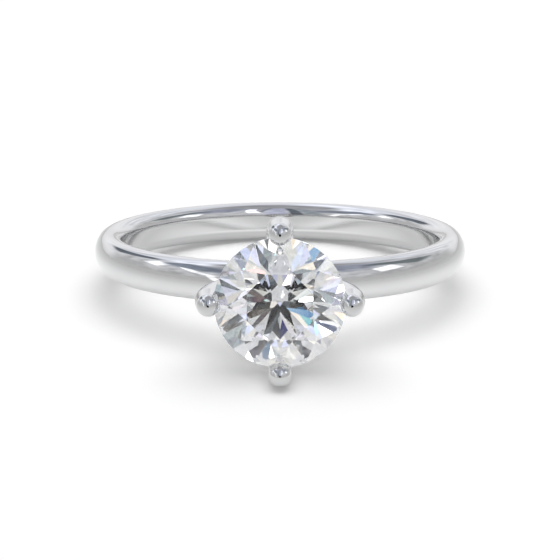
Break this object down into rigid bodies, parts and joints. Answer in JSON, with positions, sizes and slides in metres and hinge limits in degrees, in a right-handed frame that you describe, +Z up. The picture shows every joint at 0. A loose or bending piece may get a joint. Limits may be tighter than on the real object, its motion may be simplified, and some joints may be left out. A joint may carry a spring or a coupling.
{
  "type": "engagement ring",
  "caption": "Slim polished white-metal finger ring with a domed band and a raised claw head that holds a round brilliant-cut stone.",
  "frame": {"origin": "centre of the finger bore, with the ring lying at rest on a flat surface, on the back of the band and the bottom claw", "axes": "+X across the ring, -Y the way the stone faces, +Z up; the bore axis leans 7.82 degrees from +Z towards +Y"},
  "size_m": [0.02, 0.0257, 0.0084],
  "materials": {
    "polished_metal": "mirror polish, rhodium plated",
    "stone": "polished facets"
  },
  "bodies": {
    "root": {"shank": "polished_metal", "setting_base": "polished_metal", "lower_gallery_rail": "polished_metal", "upper_gallery_rail": "polished_metal", "claw_top": "polished_metal", "claw_right": "polished_metal", "claw_bottom": "polished_metal", "claw_left": "polished_metal", "centre_stone": "stone"}
  },
  "joints": []
}
